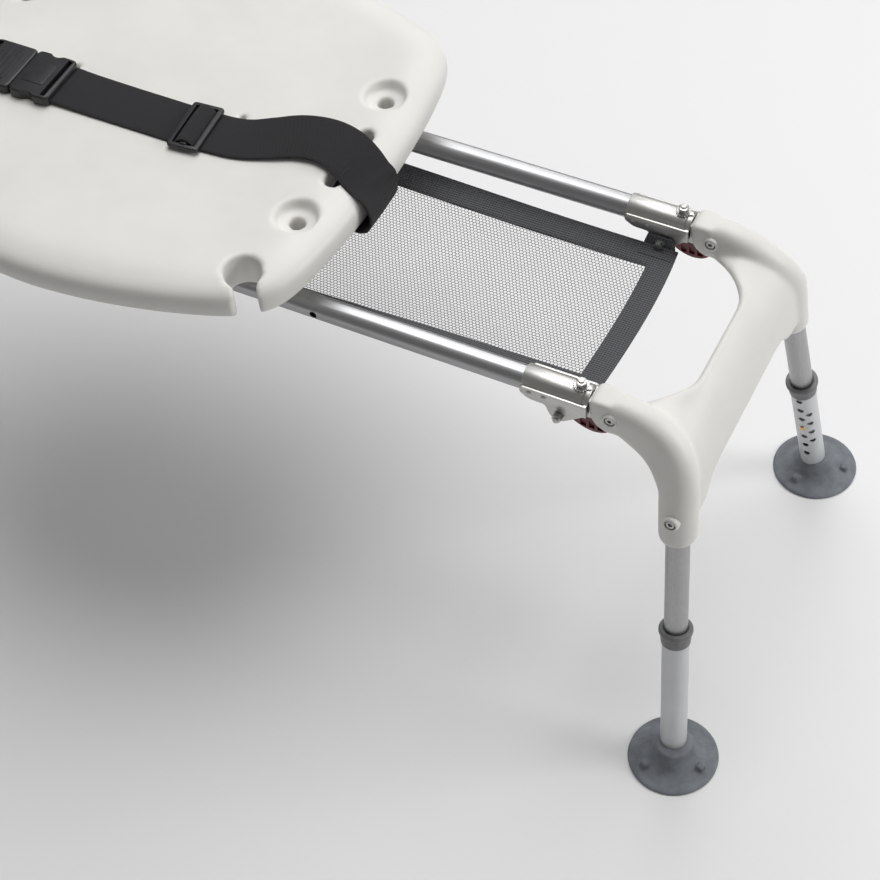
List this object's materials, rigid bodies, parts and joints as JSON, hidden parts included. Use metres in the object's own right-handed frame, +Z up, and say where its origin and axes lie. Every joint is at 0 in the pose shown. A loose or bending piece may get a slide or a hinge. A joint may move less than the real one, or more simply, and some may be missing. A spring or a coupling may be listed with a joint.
{
  "type": "bath transfer bench",
  "caption": "Folding bath transfer bench: a moulded seat slides on two rails between folding end frames with telescopic splayed legs, suction feet, a net sling and a lap belt.",
  "frame": {"origin": "on the floor under the middle of the bench", "axes": "+X along the rails, +Y across them, +Z up"},
  "size_m": [1.328, 0.476, 0.4843],
  "materials": {
    "white_plastic": "satin moulded",
    "anodised": "satin anodised",
    "pale_tube": "satin pale grey",
    "stainless": "satin stainless",
    "fastener": "bright zinc",
    "dark_rubber": "matte slate grey",
    "collar_plastic": "satin dark grey",
    "red_plastic": "satin dark red",
    "brass": "satin",
    "net_fabric": "open net with woven hem",
    "webbing": "woven webbing",
    "black_plastic": "satin moulded",
    "grey_nylon": "matte"
  },
  "bodies": {
    "bench": {"rail_near": "anodised", "rail_far": "anodised", "net_sling": "net_fabric", "hinge_bracket_right_near": "stainless", "clamp_nut_right_near": "fastener", "ear_bolt_right_near": "fastener", "hinge_bracket_right_far": "stainless", "clamp_nut_right_far": "fastener", "ear_bolt_right_far": "fastener", "hinge_bracket_left_near": "stainless", "clamp_nut_left_near": "fastener", "ear_bolt_left_near": "fastener", "hinge_bracket_left_far": "stainless", "clamp_nut_left_far": "fastener", "ear_bolt_left_far": "fastener"},
    "seat": {"seat_shell": "white_plastic", "seat_carriage": "stainless", "glide_shoe_near": "grey_nylon", "glide_shoe_far": "grey_nylon", "belt_strap_right": "webbing", "belt_strap_left": "webbing", "belt_slider": "black_plastic", "buckle_socket": "black_plastic", "buckle_plug": "black_plastic"},
    "seat_lock": {"seat_lock_pin": "black_plastic"},
    "end_right": {"end_frame_right": "white_plastic", "pivot_screw_right_near": "fastener", "leg_upper_tube_right_near": "anodised", "leg_screw_right_near": "fastener", "pivot_screw_right_far": "fastener", "leg_upper_tube_right_far": "anodised", "leg_screw_right_far": "fastener"},
    "leg_right_near": {"leg_lower_tube_right_near": "pale_tube", "leg_collar_right_near": "collar_plastic", "suction_foot_right_near": "dark_rubber"},
    "snap_button_right_near": {"snap_button_right_near": "brass"},
    "latch_lever_right_near": {"latch_lever_right_near": "red_plastic"},
    "leg_right_far": {"leg_lower_tube_right_far": "pale_tube", "leg_collar_right_far": "collar_plastic", "suction_foot_right_far": "dark_rubber"},
    "snap_button_right_far": {"snap_button_right_far": "brass"},
    "latch_lever_right_far": {"latch_lever_right_far": "red_plastic"},
    "end_left": {"end_frame_left": "white_plastic", "pivot_screw_left_near": "fastener", "leg_upper_tube_left_near": "anodised", "leg_screw_left_near": "fastener", "pivot_screw_left_far": "fastener", "leg_upper_tube_left_far": "anodised", "leg_screw_left_far": "fastener"},
    "leg_left_near": {"leg_lower_tube_left_near": "pale_tube", "leg_collar_left_near": "collar_plastic", "suction_foot_left_near": "dark_rubber"},
    "snap_button_left_near": {"snap_button_left_near": "brass"},
    "latch_lever_left_near": {"latch_lever_left_near": "red_plastic"},
    "leg_left_far": {"leg_lower_tube_left_far": "pale_tube", "leg_collar_left_far": "collar_plastic", "suction_foot_left_far": "dark_rubber"},
    "snap_button_left_far": {"snap_button_left_far": "brass"},
    "latch_lever_left_far": {"latch_lever_left_far": "red_plastic"}
  },
  "joints": [
    {"name": "seat_slide", "type": "slide", "parent": "bench", "child": "seat", "axis": [1, 0, 0], "range_m": [-0.231, 0.231]},
    {"name": "seat_lock_push", "type": "slide", "parent": "seat", "child": "seat_lock", "axis": [0, 1, 0], "range_m": [0, 0.007]},
    {"name": "end_right_fold", "type": "hinge", "parent": "bench", "child": "end_right", "pos_m": [0.523, 0, 0.39], "axis": [0, 1, 0], "range_deg": [0, 90]},
    {"name": "leg_right_near_extend", "type": "slide", "parent": "end_right", "child": "leg_right_near", "axis": [0.0881, -0.1859, -0.9786], "range_m": [-0.051, 0.051]},
    {"name": "snap_button_right_near_press", "type": "slide", "parent": "end_right", "child": "snap_button_right_near", "axis": [-0.0167, -0.9826, 0.1852], "range_m": [0, 0.0045], "stiffness_N_per_m": 200, "springref_m": -0.003},
    {"name": "latch_lever_right_near_pull", "type": "hinge", "parent": "bench", "child": "latch_lever_right_near", "pos_m": [0.475, -0.1135, 0.3753], "axis": [0, 1, 0], "range_deg": [0, 12], "stiffness_Nm_per_rad": 0.05, "springref_deg": -17.19},
    {"name": "leg_right_far_extend", "type": "slide", "parent": "end_right", "child": "leg_right_far", "axis": [0.0881, 0.1859, -0.9786], "range_m": [-0.051, 0.051]},
    {"name": "snap_button_right_far_press", "type": "slide", "parent": "end_right", "child": "snap_button_right_far", "axis": [-0.0167, 0.9826, 0.1852], "range_m": [0, 0.0045], "stiffness_N_per_m": 200, "springref_m": -0.003},
    {"name": "latch_lever_right_far_pull", "type": "hinge", "parent": "bench", "child": "latch_lever_right_far", "pos_m": [0.475, 0.1135, 0.3753], "axis": [0, 1, 0], "range_deg": [0, 12], "stiffness_Nm_per_rad": 0.05, "springref_deg": -17.19},
    {"name": "end_left_fold", "type": "hinge", "parent": "bench", "child": "end_left", "pos_m": [-0.523, 0, 0.39], "axis": [0, -1, 0], "range_deg": [0, 90]},
    {"name": "leg_left_near_extend", "type": "slide", "parent": "end_left", "child": "leg_left_near", "axis": [-0.0881, -0.1859, -0.9786], "range_m": [-0.051, 0.051]},
    {"name": "snap_button_left_near_press", "type": "slide", "parent": "end_left", "child": "snap_button_left_near", "axis": [0.0167, -0.9826, 0.1852], "range_m": [0, 0.0045], "stiffness_N_per_m": 200, "springref_m": -0.003},
    {"name": "latch_lever_left_near_pull", "type": "hinge", "parent": "bench", "child": "latch_lever_left_near", "pos_m": [-0.475, -0.1135, 0.3753], "axis": [0, -1, 0], "range_deg": [0, 12], "stiffness_Nm_per_rad": 0.05, "springref_deg": -17.19},
    {"name": "leg_left_far_extend", "type": "slide", "parent": "end_left", "child": "leg_left_far", "axis": [-0.0881, 0.1859, -0.9786], "range_m": [-0.051, 0.051]},
    {"name": "snap_button_left_far_press", "type": "slide", "parent": "end_left", "child": "snap_button_left_far", "axis": [0.0167, 0.9826, 0.1852], "range_m": [0, 0.0045], "stiffness_N_per_m": 200, "springref_m": -0.003},
    {"name": "latch_lever_left_far_pull", "type": "hinge", "parent": "bench", "child": "latch_lever_left_far", "pos_m": [-0.475, 0.1135, 0.3753], "axis": [0, -1, 0], "range_deg": [0, 12], "stiffness_Nm_per_rad": 0.05, "springref_deg": -17.19}
  ]
}
